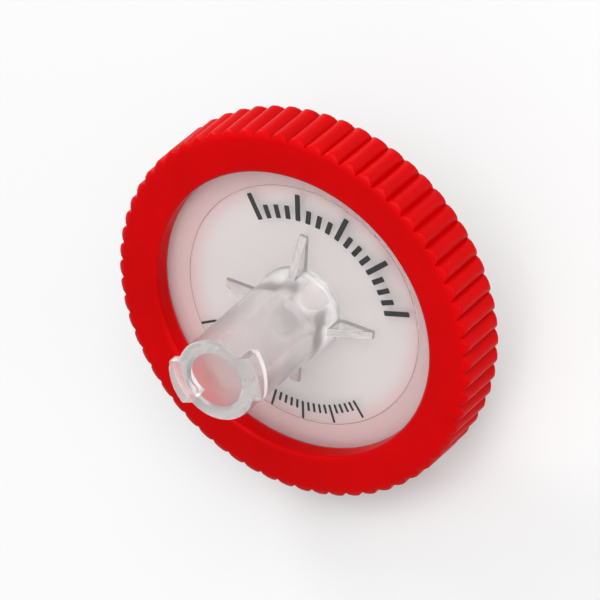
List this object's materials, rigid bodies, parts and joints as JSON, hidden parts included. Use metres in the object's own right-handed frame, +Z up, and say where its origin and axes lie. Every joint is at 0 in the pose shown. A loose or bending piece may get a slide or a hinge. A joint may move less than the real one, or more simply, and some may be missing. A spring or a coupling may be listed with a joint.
{
  "type": "syringe filter",
  "caption": "Disc syringe filter with a knurled grip ring, clear shells round a membrane, a luer lock inlet and a luer slip outlet.",
  "frame": {"origin": "on the table, under the middle of the box round the filter as it lies at rest", "axes": "+Z up from the table. The filter lies on its grip ring, on the +X side, and on the tip of its outlet nozzle, on the -X side. Its flow axis is in the X-Z plane, 35.7 degrees from +Z towards +X at the inlet, which points up. +Y is along the ring's diameter that is level"},
  "size_m": [0.0268, 0.03, 0.0228],
  "materials": {
    "ring_plastic": "satin red polypropylene",
    "clear_plastic": "clear, slightly milky polypropylene",
    "membrane": "matt white PTFE membrane"
  },
  "bodies": {
    "root": {"overmould_ring": "ring_plastic", "inlet_housing": "clear_plastic", "outlet_housing": "clear_plastic", "membrane": "membrane"}
  },
  "joints": []
}
